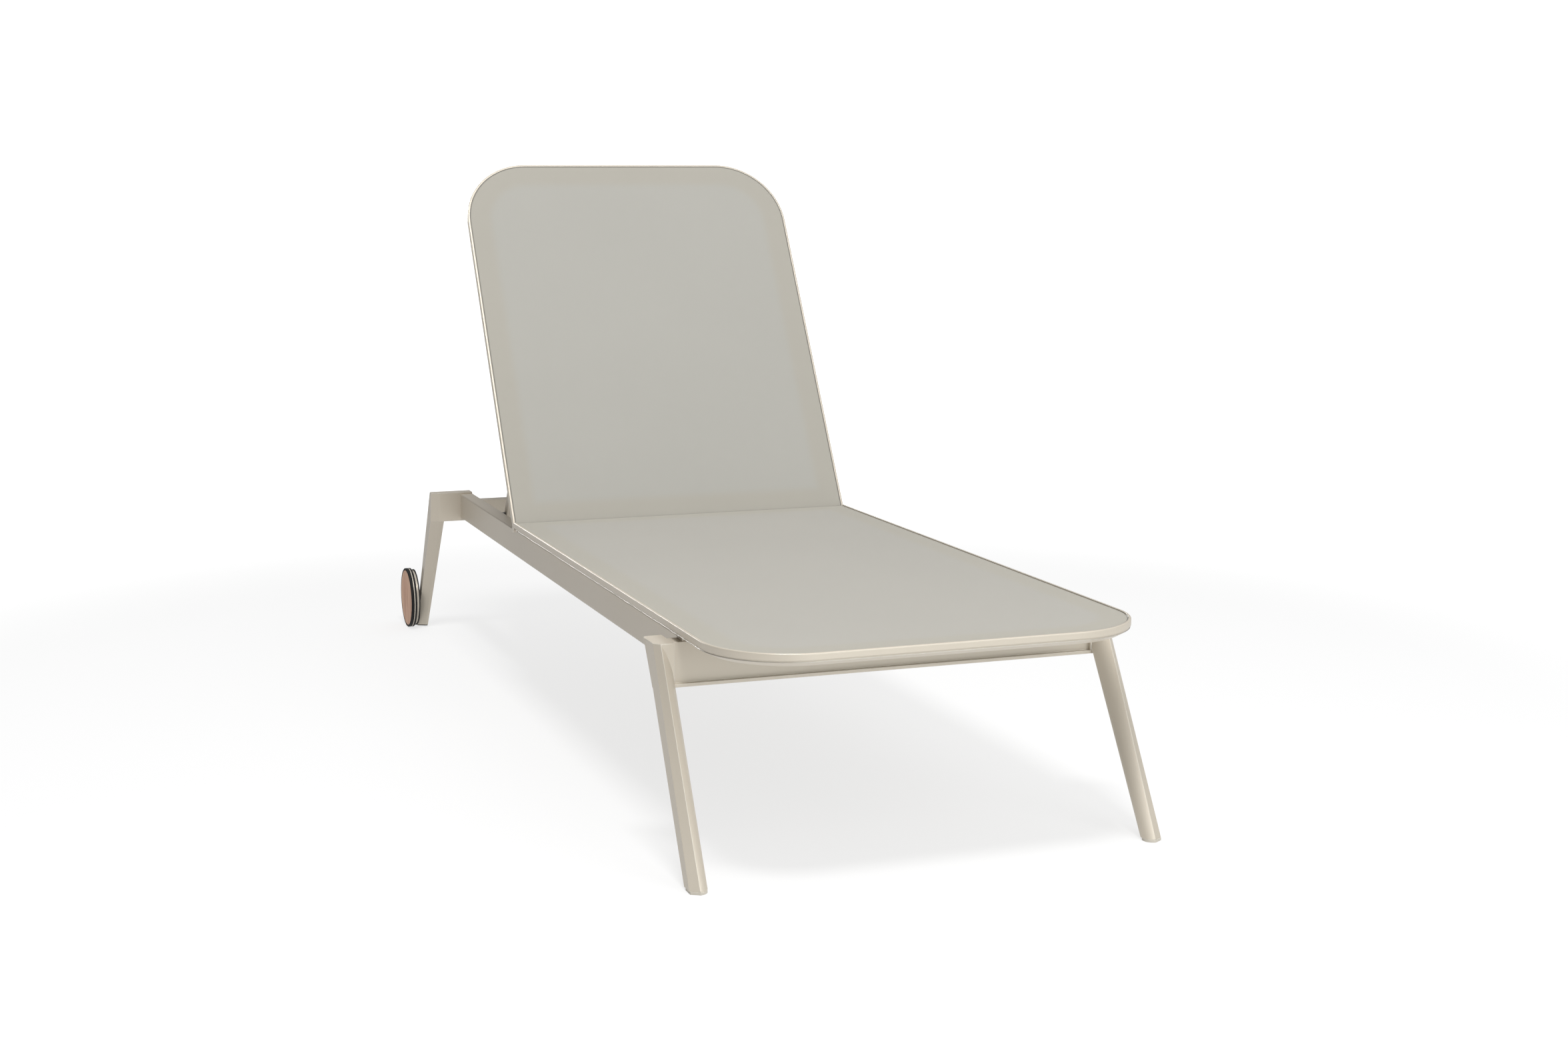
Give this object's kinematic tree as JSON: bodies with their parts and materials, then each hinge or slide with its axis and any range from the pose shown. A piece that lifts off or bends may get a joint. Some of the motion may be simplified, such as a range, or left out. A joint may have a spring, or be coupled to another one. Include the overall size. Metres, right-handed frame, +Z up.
{
  "type": "spa relaxation lounger",
  "caption": "Low sun and spa lounger: fabric seat and tilting fabric backrest on a slim painted frame, raked legs at the foot end and two wheels at the head end.",
  "frame": {"origin": "on the floor, midway between the foot end of the seat panel and the back of the wheels, on the centre line", "axes": "+X across the width, +Y towards the head end, +Z up"},
  "size_m": [0.798, 2.1124, 1.0125],
  "materials": {
    "frame_paint": "matt powder coat in warm grey-beige on aluminium",
    "raw_aluminium": "as cast",
    "screw_steel": "stainless",
    "sling_fabric": "woven sling cloth",
    "black_plastic": "matt",
    "pale_nylon": "matt moulded nylon, near the paint in colour",
    "bush_plastic": "slick nylon",
    "black_rubber": "matt",
    "teak": "oiled, straight grain"
  },
  "bodies": {
    "base": {"front_cross_beam": "frame_paint", "rear_cross_tube": "frame_paint", "left_side_rail": "frame_paint", "right_side_rail": "frame_paint", "front_left_leg": "frame_paint", "front_right_leg": "frame_paint", "rear_left_leg": "frame_paint", "rear_right_leg": "frame_paint", "front_glides": "pale_nylon", "rear_leg_caps": "black_plastic", "rail_spigots": "raw_aluminium", "rail_screws": "screw_steel", "seat_frame": "frame_paint", "seat_rear_rail": "frame_paint", "seat_stretchers": "frame_paint", "seat_sling": "sling_fabric", "seat_spline": "black_plastic", "seat_standoffs": "frame_paint", "seat_screws": "screw_steel", "left_prop_rack": "frame_paint", "right_prop_rack": "frame_paint", "rack_screws": "screw_steel", "left_hinge_bracket": "frame_paint", "right_hinge_bracket": "frame_paint", "bracket_screws": "screw_steel", "hinge_bushes": "bush_plastic", "left_axle": "screw_steel", "right_axle": "screw_steel", "wheel_washers": "black_plastic", "axle_clips": "screw_steel"},
    "backrest": {"back_frame": "frame_paint", "back_bottom_rail": "frame_paint", "back_stretchers": "frame_paint", "back_sling": "sling_fabric", "back_spline": "black_plastic", "back_end_caps": "frame_paint", "hinge_pins": "screw_steel", "prop_lugs": "frame_paint", "prop_pivot_pins": "screw_steel"},
    "prop": {"left_prop_arm": "frame_paint", "right_prop_arm": "frame_paint", "prop_cross_bar": "screw_steel", "prop_sleeves": "bush_plastic"},
    "left_wheel": {"left_wheel_hub": "frame_paint", "left_wheel_tyre": "black_rubber", "left_wheel_disc": "teak", "left_wheel_bush": "bush_plastic"},
    "right_wheel": {"right_wheel_hub": "frame_paint", "right_wheel_tyre": "black_rubber", "right_wheel_disc": "teak", "right_wheel_bush": "bush_plastic"}
  },
  "joints": [
    {"name": "backrest_recline", "type": "hinge", "parent": "base", "child": "backrest", "pos_m": [0, 0.22085, 0.336], "axis": [1, 0, 0], "range_deg": [-58.69, 16.31]},
    {"name": "prop_swing", "type": "hinge", "parent": "backrest", "child": "prop", "pos_m": [0, 0.39052, 0.59186], "axis": [1, 0, 0], "range_deg": [-32.62, 117.38]},
    {"name": "left_wheel_spin", "type": "hinge", "parent": "base", "child": "left_wheel", "pos_m": [-0.39, 0.99125, 0.065], "axis": [1, 0, 0], "continuous": true},
    {"name": "right_wheel_spin", "type": "hinge", "parent": "base", "child": "right_wheel", "pos_m": [0.39, 0.99125, 0.065], "axis": [1, 0, 0], "continuous": true}
  ],
  "couplings": [
    {"joint": "prop_swing", "follows": "backrest_recline", "ratio": -2}
  ]
}
